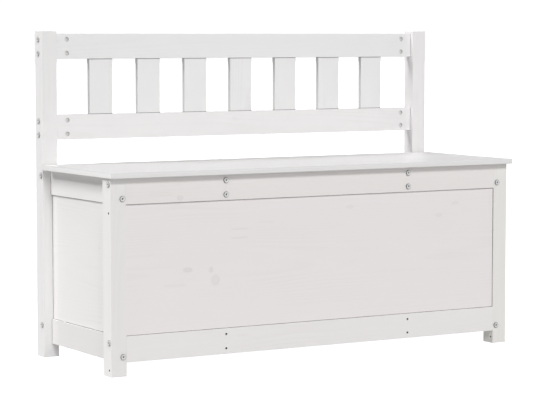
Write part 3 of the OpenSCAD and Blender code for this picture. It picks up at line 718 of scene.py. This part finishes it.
streakPlaces = {  # from u, to u, v, thickness, strength
    "front_panel": [(-0.229, -0.190, 0.311, 0.0028, 0.9), (-0.229, -0.190, 0.291, 0.0028, 0.9),
                    (-0.160, -0.120, 0.324, 0.0025, 0.5), (-0.400, -0.350, 0.193, 0.0050, 0.5)],
    "front_top_rail": [(-0.438, -0.390, 0.401, 0.0025, 0.5), (-0.438, -0.385, 0.395, 0.0025, 0.5)],
    "front_bottom_rail": [(-0.224, -0.185, 0.098, 0.0040, 0.4), (-0.215, -0.190, 0.070, 0.0040, 0.4)],
}

setBack = ("left", "right", "backrest")  # rails that lie behind the faces of their posts


def openingOf(panel):  # the part of a panel that its posts and rails leave bare
    side = panel.split("_")[0]
    low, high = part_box(side + "_bottom_rail")[1].z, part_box(side + "_top_rail")[0].z
    if side in ("front", "back"):
        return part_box(side + "_left_post")[1].x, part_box(side + "_right_post")[0].x, low, high
    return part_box("front_%s_post" % side)[1].y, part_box("back_%s_post" % side)[0].y, low, high


smallHoles = {"foot": 15 * mm, "upper": 18 * mm, "deep": 24 * mm, "holeFloor": 0.1 * mm}  # in the front posts


def openHoles():  # every open hole: the middle of its bottom, the way out and the radius
    found = []
    for head, way, out in boltsOfPosts():
        bottom = head + way * (postSize + nuts["back"]) - out * (nuts["length"] / 2 + nuts["holeFloor"])
        found.append((bottom, out, nuts["hole"] / 2))
    radius = sunkScrews["hole"] / 2
    for head, way, _ in pairsOfBearers("floor", "bottom_rail"):
        found.append((head + way * (sunkScrews["sunk"] + sunkScrews["holeFloor"]), -way, radius))
    y, upper = frontY + railSize / 2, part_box("front_top_rail")[0].z - smallHoles["upper"]
    for side in (1, -1):
        out, through = Vector((side, 0, 0)), side * (outX - postSize + smallHoles["holeFloor"])
        found.append((Vector((through, y, smallHoles["foot"])), out, radius))
        found.append((Vector((side * (outX - smallHoles["deep"]), y, upper)), out, radius))
    return found


holes = openHoles()


def boresIn(name):
    low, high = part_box(name)
    return [hole for hole in holes if all(low[i] < hole[0][i] < high[i] for i in range(3))]


for number, (name, (along, wide, stave)) in enumerate(timber.items()):
    centre, half = middleOf(name)
    finish = paintedPine("paint_" + name, along, wide, centre, half, seed=101 + number, stave=stave,
                         marks=knotPlaces.get(name, ()), streaks=streakPlaces.get(name, ()),
                         opening=openingOf(name) if name.endswith("panel") else None,
                         tint=paintedLightTints.get(name, (1, 1, 1)), bores=boresIn(name),
                         ends=name.endswith("rail") and name.split("_")[0] in setBack)
    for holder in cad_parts[name].material_slots:
        holder.material = finish
print("scene: timber painted,", len(timber), "nodes")


# Slats of the backrest

# tint: painted light and shade that evens out the slats' tone, like the boards' tints
slats = {"count": 7, "edge": 0.9 * mm, "steps": 4, "sharp": 80, "tint": (1.004, 1.008, 1.014),
         "side": (0.780, 0.780, 0.785)}  # painted shade on their sides

boards = boardTree()
slatNames = ["backrest_slat_%d" % (i + 1) for i in range(slats["count"])]
slatHalf = middleOf(slatNames[0])[1]
slatMiddle = middleOf(slatNames[slats["count"] // 2])[0]
anyWidth = (-9, 9)  # so that the painted shade line marks only the slats' ends
slatShown = (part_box("backrest_lower_rail")[1].z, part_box("backrest_top_rail")[0].z, *anyWidth)
slatPaint = paintedPine("paint_slats", "z", 0, slatMiddle, slatHalf, seed=41, own=True,
                        opening=slatShown, tint=slats["tint"], sidePaintedShade=slats["side"])
slatPiece = grown("backrestSlats", boards, [(middleOf(name)[0], (0, 0, 0)) for name in slatNames],
                  {"Size": slatHalf * 2, "Edge radius": slats["edge"], "Steps": slats["steps"],
                   "Finish": slatPaint}, sharp=slats["sharp"])
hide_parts(*slatNames)
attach(slatPiece, "frame")
print("scene: slats made")


# The lid, one board glued up from staves

lid = {"edge": 1.2 * mm, "steps": 4, "stave": 89 * mm, "sharp": 80}
lidPaintedShade = {  # painted shade on the seat's top, most of all at its left end, and on its rounded edges
    "left": (0.895, 0.895, 0.900, 1),
    "right": (0.965, 0.965, 0.970, 1),
    "rounded": (0.88, 0.88, 0.885),
    "from": 1.8 * mm,                      # how deep below the top the painted shade begins, and is full
    "full": 1.0 * mm,
    "roundFrom": 1.2 * mm,                 # the same for the rounded edges
    "roundFull": 0.6 * mm,
}

lidCentre, lidHalf = middleOf("lid_board")
lidPaint = paintedPine("paint_lid", "x", 1, lidCentre, lidHalf, seed=57, stave=lid["stave"],
                       topPaintedShade=lidPaintedShade)
lidPiece = grown("seatLid", boards, [(lidCentre, (0, 0, 0))],
                 {"Size": lidHalf * 2, "Edge radius": lid["edge"], "Steps": lid["steps"],
                  "Finish": lidPaint}, sharp=lid["sharp"])
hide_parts("lid_board")
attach(lidPiece, "lid")
print("scene: lid made")


# Fasteners. Each is turned round its own Z axis, its head at or below 0 and its point above

def facing(zAxis, xAxis):  # the Euler turn that puts the own axes along these directions
    z, x = Vector(zAxis).normalized(), Vector(xAxis).normalized()
    return Matrix((x, z.cross(x), z)).transposed().to_euler()


def spun(zAxis, draw):  # the same, turned round that axis by chance
    z = Vector(zAxis)
    side = Vector((0, 0, 1)) if abs(z.z) < 0.5 else Vector((1, 0, 0))
    return facing(z, Matrix.Rotation(draw.uniform(0, math.tau), 3, z) @ side)


def boltProfile(name, length):
    r, top, rim, shank = bolts["headWidth"] / 2, -bolts["headHeight"], bolts["rim"], bolts["shank"] / 2
    dish, bottom, under = bolts["socket"] / 2, top + bolts["dishDeep"], bolts["underEdge"]
    turns = [math.radians(90 / bolts["rimSteps"] * i) for i in range(bolts["rimSteps"] + 1)]
    rows = [(0, bottom), (dish, bottom), (dish + bolts["dishSlope"], top)]
    rows += [(r - rim + rim * math.sin(turn), top + rim - rim * math.cos(turn)) for turn in turns]
    rows += [(r, -under), (r - under, 0), (shank, 0), (shank, length - bolts["point"]),
             (shank - bolts["pointIn"], length), (0, length)]
    return profileOf(name, rows)


def hexRecess():
    top, corners = -bolts["headHeight"], ringOf(6, bolts["socket"] / math.sqrt(3))
    return toolObject("hexRecess", *joined([prism(corners, top - proud, top + bolts["socketDeep"])]))


def nutRecess():
    w, h, s = nuts["width"], nuts["length"] / 2, nuts["slot"] / 2
    slot = prism([(-w, -s), (w, -s), (w, s), (-w, s)], h - nuts["slotDeep"], h + proud)
    thread = prism(ringOf(nuts["threadSides"], nuts["thread"] / 2), -w, w, axis="y")
    return toolObject("nutRecess", *joined([slot, thread]))


def nutProfile():
    r, h, c = nuts["width"] / 2, nuts["length"] / 2, nuts["chamfer"]
    return profileOf("nutProfile", [(0, -h), (r - c, -h), (r, c - h), (r, h - c), (r - c, h), (0, h)])


turned = turnedTree()
draw = random.Random(7)
hexTool, nutTool, nutLine = hexRecess(), nutRecess(), nutProfile()
boltWell = [height - bolts["headHeight"] for height in bolts["well"]]
nutWell = [nuts["length"] / 2 - depth for depth in nuts["well"]]
boltSteel = platedSteel("steel_bolts", rim=bolts["headWidth"] / 2, well=boltWell,
                        wellWide=bolts["socket"] * bolts["wellShare"], side=outX)
nutSteel = platedSteel("steel_nuts", rim=nuts["width"] / 2, well=nutWell, shade=nuts["shade"])
for kind, places, depth in (("post", boltsOfPosts(), postSize),
                            ("bearer", pairsOfBearers("seat", "top_rail"), railSize)):
    reach = depth + nuts["back"]
    line = boltProfile(kind + "BoltLine", reach + bolts["past"])
    boltSpots = [(head, spun(way, draw)) for head, way, _ in places]
    nutSpots = [(head + way * reach, facing(opening, (0, 0, 1))) for head, way, opening in places]
    boltPiece = grown(kind + "Bolts", turned, boltSpots, {"Profile": line, "Recess": hexTool,
                                                          "Sides": bolts["sides"], "Finish": boltSteel})
    nutPiece = grown(kind + "BarrelNuts", turned, nutSpots, {"Profile": nutLine, "Recess": nutTool,
                                                             "Sides": nuts["sides"], "Finish": nutSteel})
    for made, cad in ((boltPiece, kind + "_bolts"), (nutPiece, kind + "_barrel_nuts")):
        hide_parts(cad)
        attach(made, "frame")
    bpy.data.objects.remove(line)
print("scene: bolts and barrel nuts made")


# Screws

def screwProfile(name, length):
    r, s, edge = screws["head"] / 2, screws["shank"] / 2, screws["headEdge"]
    return profileOf(name, [(0, 0), (r - edge, 0), (r, edge), (s, r - s + edge),
                            (s, length - 2 * s), (screws["tip"] / 2, length), (0, length)])


def crossRecess(name, start):
    a, b = screws["cross"] / 2, screws["crossWide"] / 2
    plus = [(a, -b), (a, b), (b, b), (b, a), (-b, a), (-b, b),
            (-a, b), (-a, -b), (-b, -b), (-b, -a), (b, -a), (b, -b)]
    low, high = start - screws["crossLift"], start + screws["crossDeep"]
    return toolObject(name, *joined([prism(plus, low, high, shrink=screws["crossTaper"])]))


def sunkProfile():
    r, s, edge = sunkScrews["head"] / 2, sunkScrews["shank"] / 2, sunkScrews["headEdge"]
    z, end = sunkScrews["sunk"], sunkScrews["sunk"] + sunkScrews["length"]
    return profileOf("sunkLine", [(0, z), (r - edge, z), (r, z + edge), (r, z + s), (s, z + s),
                                  (s, end - 2 * s), (screws["tip"] / 2, end), (0, end)])


def threeByThree(name, rise):  # heads of three screws a side, read from the CAD node's box
    low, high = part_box(name)
    r, made = screws["head"] / 2, []
    head = high.z if rise < 0 else low.z
    for side in (1, -1):
        for share in (0, 0.5, 1):
            y = low.y + r + share * (high.y - low.y - 2 * r)
            made.append((Vector((side * (high.x - r), y, head)), Vector((0, 0, rise))))
    return made, high.z - low.z


def leafScrews(name, upright):  # three screws a leaf, the middle one nearer to the hinge's axis
    low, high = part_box(name)
    r, made = screws["head"] / 2, []
    hingeX = middleOf("hinge_right_pin")[0].x
    for side in (1, -1):
        for i in (-1, 0, 1):
            x = side * (hingeX + i * (high.x - r - hingeX))
            if upright:
                made.append((Vector((x, low.y, high.z - r if i == 0 else low.z + r)), Vector((0, 1, 0))))
            else:
                made.append((Vector((x, high.y - r if i == 0 else low.y + r, low.z)), Vector((0, 0, 1))))
    return made, high.y - low.y if upright else high.z - low.z


sunkWell = [depth + sunkScrews["sunk"] for depth in screws["well"]]
screwSteel = platedSteel("steel_screws", rim=screws["head"] / 2, well=screws["well"],
                         wellWide=screws["cross"] / 2)
sunkSteel = platedSteel("steel_sunk_screws", rim=sunkScrews["head"] / 2, well=sunkWell,
                        wellWide=screws["cross"] / 2)
crossTool, sunkTool = crossRecess("crossRecess", 0), crossRecess("sunkRecess", sunkScrews["sunk"])
sunkPlaces = [(head, way) for head, way, _ in pairsOfBearers("floor", "bottom_rail")]
for pieceName, cad, body, (places, length) in (
        ("floorScrews", "floor_screws", "frame", threeByThree("floor_screws", -1)),
        ("battenScrews", "batten_screws", "lid", threeByThree("batten_screws", 1)),
        ("hingeFrameScrews", "hinge_frame_screws", "frame", leafScrews("hinge_frame_screws", True)),
        ("hingeLidScrews", "hinge_lid_screws", "lid", leafScrews("hinge_lid_screws", False)),
        ("floorBearerScrews", "floor_bearer_screws", "frame", (sunkPlaces, None))):
    line = screwProfile(pieceName + "Line", length) if length else sunkProfile()
    made = grown(pieceName, turned, [(head, spun(way, draw)) for head, way in places],
                 {"Profile": line, "Recess": crossTool if length else sunkTool, "Sides": screws["sides"],
                  "Finish": screwSteel if length else sunkSteel})
    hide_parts(cad)
    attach(made, body)
    bpy.data.objects.remove(line)
print("scene: screws made")


# Dowels and hinges keep their CAD shape

beechFinish, hingeSteel = turnedBeech("beech_dowels"), platedSteel("steel_hinges")
for name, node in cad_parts.items():
    finish = beechFinish if name == "rail_dowels" else hingeSteel
    if name not in timber and not node.hide_render:
        for holder in node.material_slots:
            holder.material = finish

for tool in (hexTool, nutTool, nutLine, crossTool, sunkTool):
    bpy.data.objects.remove(tool)


# Studio: broad soft lamps round the bench, over a white floor and in front of a white wall

# The strengths, and what litFloor gives, come from a fit to the photograph's tones
lamps = {  # where the light comes from, its strength, and how wide its source looks, in degrees
    "keyLamp": ((-0.26, -1.0, 0.87), 1.16, 14),
    "frontLeftLamp": ((-0.60, -1.0, 0.75), 0.53, 14),
    "frontRightLamp": ((0.30, -1.0, 0.69), 0.19, 14),
    "frontRightLow": ((0.30, -1.0, 0.31), 0.34, 12),
    "leftHigh": ((-1.0, 0.0, 1.43), 1.18, 15),
    "leftBack": ((-1.0, 0.3, 0.87), 1.44, 15),
    "rightLamp": ((1.0, -0.3, 0.60), 0.39, 20),
    "rightLow": ((1.0, 0.3, 0.06), 1.20, 20),
    "backLow": ((0.3, 1.0, 0.06), 1.60, 20),
}

studio = {
    "wall": 1.02,                          # how bright the wall is to the camera
    "mirrored": 0.62,                      # and in reflections
    "flag": (0.70, 0.45, 0.55),            # a dark flag at the back right keeps the glare off the lid
    "flagEdge": (0.45, 0.0),
    "lowest": 0.1,                         # lamps lower than this would glare on the lid
    "floorSize": 90.0,
    "floorRough": 0.9,
}

floors = {  # how much light each floor throws back, how much it gives, and its height
    "shownFloor": (0.50, 0.93, 0.0),       # seen by the camera alone
    "litFloor": (0.12, 0.447, -1 * mm),    # the one that lights the bench from below
}


def studioFloor(name, white, glow, z):
    s = studio["floorSize"] / 2
    floor = toolObject(name, [(-s, -s, z), (s, -s, z), (s, s, z), (-s, s, z)], (), [(0, 1, 2, 3)])
    material, sheet = newFinish(name)
    sheet.dress({"Base Color": (white, white, white, 1), "Roughness": studio["floorRough"],
                 "Specular IOR Level": 0.0, "Emission Color": (1, 1, 1, 1), "Emission Strength": glow})
    floor.data.materials.append(material)
    shown = name == "shownFloor"
    floor.visible_camera = shown
    floor.visible_diffuse = floor.visible_glossy = floor.visible_shadow = not shown


def studioLights():
    world = bpy.data.worlds.new("studioWall")
    world.use_nodes = True
    sheet = Sheet(world.node_tree)
    sheet.tree.nodes.clear()
    ray = sheet.add("ShaderNodeLightPath")
    direction = sheet.add("ShaderNodeTexCoord").out("Generated")
    nearFlag = sheet.vector("DOT_PRODUCT", direction, studio["flag"]).out("Value")
    mirrored = nearFlag.ramp(*studio["flagEdge"]) * studio["mirrored"]
    strength = ray.out("Is Camera Ray") * studio["wall"] + ray.out("Is Glossy Ray") * mirrored
    wall = sheet.add("ShaderNodeBackground", {}, {"Color": (1, 1, 1, 1), "Strength": strength})
    sheet.add("ShaderNodeOutputWorld", {}, {"Surface": wall})
    bpy.context.scene.world = world
    for name, (towards, energy, wide) in lamps.items():
        lamp = bpy.data.lights.new(name, "SUN")
        lamp.energy, lamp.angle = energy, math.radians(wide)
        lampObject = bpy.data.objects.new(name, lamp)
        lampObject.rotation_euler = Vector(towards).to_track_quat("Z", "Y").to_euler()
        lampObject.visible_glossy = towards[2] > studio["lowest"]
        bpy.context.scene.collection.objects.link(lampObject)


for name, values in floors.items():
    studioFloor(name, *values)
studioLights()


# The photograph's camera: its place, how many degrees it looks down and to the right, and its lens

view = {"place": (-2.60213, -4.33583, 0.74896), "down": 4.603, "right": 30.895,
        "lens": 140.006, "sensor": 36.0, "near": 0.1, "far": 200}

camera = bpy.data.objects.new("camera", bpy.data.cameras.new("camera"))
camera.data.lens, camera.data.sensor_width = view["lens"], view["sensor"]
camera.data.sensor_fit = "HORIZONTAL"
camera.data.clip_start, camera.data.clip_end = view["near"], view["far"]
camera.location = view["place"]
camera.rotation_euler = (math.radians(90 - view["down"]), 0, -math.radians(view["right"]))
bpy.context.scene.collection.objects.link(camera)
bpy.context.scene.camera = camera
bpy.context.scene.view_settings.view_transform = "Standard"
print("scene: studio and camera set")
